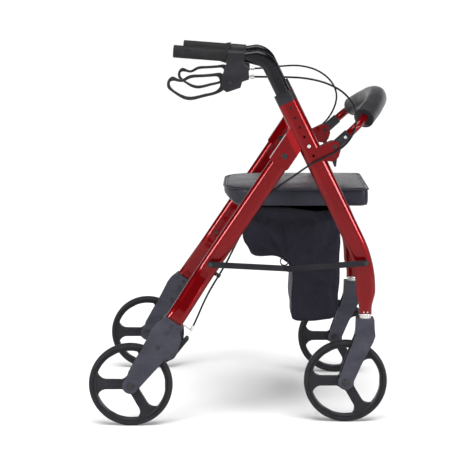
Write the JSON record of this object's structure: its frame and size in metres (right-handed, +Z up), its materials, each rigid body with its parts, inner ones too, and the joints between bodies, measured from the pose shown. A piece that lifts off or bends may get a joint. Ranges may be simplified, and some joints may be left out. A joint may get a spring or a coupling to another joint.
{
  "type": "rollator walker",
  "caption": "Folding wheeled walker with loop brakes, height-adjustable handles, padded seat, under-seat pouch and curved padded backrest.",
  "frame": {"origin": "on the floor, at the centre of the footprint box", "axes": "+X forward (travel), +Y to the user's left, +Z up"},
  "size_m": [0.7329, 0.641, 0.9153],
  "materials": {
    "red_paint": "gloss",
    "black_paint": "satin",
    "handle_gloss": "gloss",
    "dark_plastic": "matte",
    "lever_plastic": "satin",
    "fork_plastic": "satin",
    "wheel_plastic": "satin",
    "tyre": "matte",
    "grip_rubber": "matte",
    "bright_steel": "satin",
    "black_steel": "satin",
    "bush_nylon": "satin",
    "cable_jacket": "satin",
    "board": "matte",
    "seat_vinyl": "satin",
    "pad_vinyl": "satin",
    "pouch_fabric": "matte"
  },
  "bodies": {
    "front_frame": {"front_frame_tube_right": "red_paint", "front_frame_tube_left": "red_paint", "front_cross_tube": "black_paint", "pivot_brackets": "red_paint", "height_collars": "dark_plastic", "backrest_brackets": "red_paint", "frame_pivot_bolts": "bright_steel", "caster_sockets": "bright_steel", "stem_bushes": "bush_nylon", "brake_cable_right": "cable_jacket", "brake_cable_left": "cable_jacket", "storage_pouch": "pouch_fabric"},
    "rear_frame": {"rear_leg_right": "red_paint", "rear_leg_left": "red_paint", "rear_cross_tube": "black_paint", "rear_fork_outer_halves": "fork_plastic", "rear_fork_inner_halves": "fork_plastic", "rear_frame_fasteners": "black_steel", "rear_axles": "black_steel", "seat_rest_saddles": "dark_plastic", "cable_clips": "dark_plastic", "cable_stops": "bright_steel"},
    "rear_brace": {"brace_rear_links": "black_paint"},
    "front_brace": {"brace_front_links": "black_paint"},
    "seat": {"seat_board": "board", "seat_cushion": "seat_vinyl", "seat_hinge_clamps": "dark_plastic"},
    "backrest": {"backrest_tube": "red_paint", "backrest_pad": "pad_vinyl", "backrest_sleeves": "dark_plastic", "snap_buttons": "bright_steel"},
    "rear_wheel_right": {"rear_wheel_rim_right": "wheel_plastic", "rear_tyre_right": "tyre"},
    "caster_right": {"caster_fork_right": "fork_plastic", "caster_hardware_right": "bright_steel"},
    "front_wheel_right": {"front_wheel_rim_right": "wheel_plastic", "front_tyre_right": "tyre"},
    "handlebar_right": {"handle_tube_right": "handle_gloss", "grip_right": "grip_rubber", "brake_housing_right": "dark_plastic", "brake_fittings_right": "bright_steel"},
    "lever_right": {"brake_lever_right": "lever_plastic"},
    "brake_arm_right": {"brake_arm_right": "dark_plastic"},
    "height_knob_right": {"height_knob_right": "dark_plastic"},
    "trigger_right": {"backrest_trigger_right": "dark_plastic"},
    "rear_wheel_left": {"rear_wheel_rim_left": "wheel_plastic", "rear_tyre_left": "tyre"},
    "caster_left": {"caster_fork_left": "fork_plastic", "caster_hardware_left": "bright_steel"},
    "front_wheel_left": {"front_wheel_rim_left": "wheel_plastic", "front_tyre_left": "tyre"},
    "handlebar_left": {"handle_tube_left": "handle_gloss", "grip_left": "grip_rubber", "brake_housing_left": "dark_plastic", "brake_fittings_left": "bright_steel"},
    "lever_left": {"brake_lever_left": "lever_plastic"},
    "brake_arm_left": {"brake_arm_left": "dark_plastic"},
    "height_knob_left": {"height_knob_left": "dark_plastic"},
    "trigger_left": {"backrest_trigger_left": "dark_plastic"}
  },
  "joints": [
    {"name": "frame_fold", "type": "hinge", "parent": "front_frame", "child": "rear_frame", "pos_m": [0.105, 0, 0.6527], "axis": [0, -1, 0], "range_deg": [0, 30], "deforming": ["storage_pouch", "brake_cable_right", "brake_cable_left"]},
    {"name": "rear_brace_swing", "type": "hinge", "parent": "rear_frame", "child": "rear_brace", "pos_m": [-0.071, 0, 0.394], "axis": [0, -1, 0], "range_deg": [0, 40.5]},
    {"name": "front_brace_swing", "type": "hinge", "parent": "front_frame", "child": "front_brace", "pos_m": [0.3003, 0, 0.3993], "axis": [0, -1, 0], "range_deg": [-42.2, 0]},
    {"name": "seat_lift", "type": "hinge", "parent": "front_frame", "child": "seat", "pos_m": [0.24666, 0, 0.505], "axis": [0, 1, 0], "range_deg": [0, 75]},
    {"name": "backrest_tilt", "type": "hinge", "parent": "front_frame", "child": "backrest", "pos_m": [0.2245, 0, 0.675], "axis": [0, 1, 0], "range_deg": [0, 60]},
    {"name": "rear_wheel_spin_right", "type": "hinge", "parent": "rear_frame", "child": "rear_wheel_right", "pos_m": [-0.265, -0.295, 0.1015], "axis": [0, 1, 0], "continuous": true},
    {"name": "caster_swivel_right", "type": "hinge", "parent": "front_frame", "child": "caster_right", "pos_m": [0.303, -0.252, 0.262], "axis": [0, 0, 1], "continuous": true},
    {"name": "front_wheel_spin_right", "type": "hinge", "parent": "caster_right", "child": "front_wheel_right", "pos_m": [0.2565, -0.252, 0.1015], "axis": [0, 1, 0], "continuous": true},
    {"name": "handle_height_right", "type": "slide", "parent": "front_frame", "child": "handlebar_right", "axis": [-0.4399, 0, 0.898], "range_m": [-0.025, 0.1], "deforming": ["brake_cable_right"]},
    {"name": "lever_squeeze_right", "type": "hinge", "parent": "handlebar_right", "child": "lever_right", "pos_m": [-0.025, -0.252, 0.827], "axis": [0, 1, 0], "range_deg": [0, 14], "stiffness_Nm_per_rad": 1.5, "springref_deg": -8.59},
    {"name": "brake_arm_pull_right", "type": "hinge", "parent": "rear_frame", "child": "brake_arm_right", "pos_m": [-0.1602, -0.295, 0.17688], "axis": [0, -1, 0], "range_deg": [0, 10]},
    {"name": "height_knob_turn_right", "type": "hinge", "parent": "front_frame", "child": "height_knob_right", "pos_m": [0.16275, -0.252, 0.67629], "axis": [0, 1, 0], "continuous": true},
    {"name": "trigger_pull_right", "type": "hinge", "parent": "front_frame", "child": "trigger_right", "pos_m": [0.2245, -0.252, 0.652], "axis": [0, -1, 0], "range_deg": [0, 20], "stiffness_Nm_per_rad": 0.1, "springref_deg": -17.19},
    {"name": "rear_wheel_spin_left", "type": "hinge", "parent": "rear_frame", "child": "rear_wheel_left", "pos_m": [-0.265, 0.295, 0.1015], "axis": [0, 1, 0], "continuous": true},
    {"name": "caster_swivel_left", "type": "hinge", "parent": "front_frame", "child": "caster_left", "pos_m": [0.303, 0.252, 0.262], "axis": [0, 0, 1], "continuous": true},
    {"name": "front_wheel_spin_left", "type": "hinge", "parent": "caster_left", "child": "front_wheel_left", "pos_m": [0.2565, 0.252, 0.1015], "axis": [0, 1, 0], "continuous": true},
    {"name": "handle_height_left", "type": "slide", "parent": "front_frame", "child": "handlebar_left", "axis": [-0.4399, 0, 0.898], "range_m": [-0.025, 0.1], "deforming": ["brake_cable_left"]},
    {"name": "lever_squeeze_left", "type": "hinge", "parent": "handlebar_left", "child": "lever_left", "pos_m": [-0.025, 0.252, 0.827], "axis": [0, 1, 0], "range_deg": [0, 14], "stiffness_Nm_per_rad": 1.5, "springref_deg": -8.59},
    {"name": "brake_arm_pull_left", "type": "hinge", "parent": "rear_frame", "child": "brake_arm_left", "pos_m": [-0.1602, 0.295, 0.17688], "axis": [0, -1, 0], "range_deg": [0, 10]},
    {"name": "height_knob_turn_left", "type": "hinge", "parent": "front_frame", "child": "height_knob_left", "pos_m": [0.16275, 0.252, 0.67629], "axis": [0, 1, 0], "continuous": true},
    {"name": "trigger_pull_left", "type": "hinge", "parent": "front_frame", "child": "trigger_left", "pos_m": [0.2245, 0.252, 0.652], "axis": [0, -1, 0], "range_deg": [0, 20], "stiffness_Nm_per_rad": 0.1, "springref_deg": -17.19}
  ],
  "couplings": [
    {"joint": "rear_brace_swing", "follows": "frame_fold", "ratio": 1.343},
    {"joint": "front_brace_swing", "follows": "frame_fold", "ratio": -1.396},
    {"joint": "brake_arm_pull_right", "follows": "lever_squeeze_right", "ratio": 0.71},
    {"joint": "brake_arm_pull_left", "follows": "lever_squeeze_left", "ratio": 0.71}
  ]
}
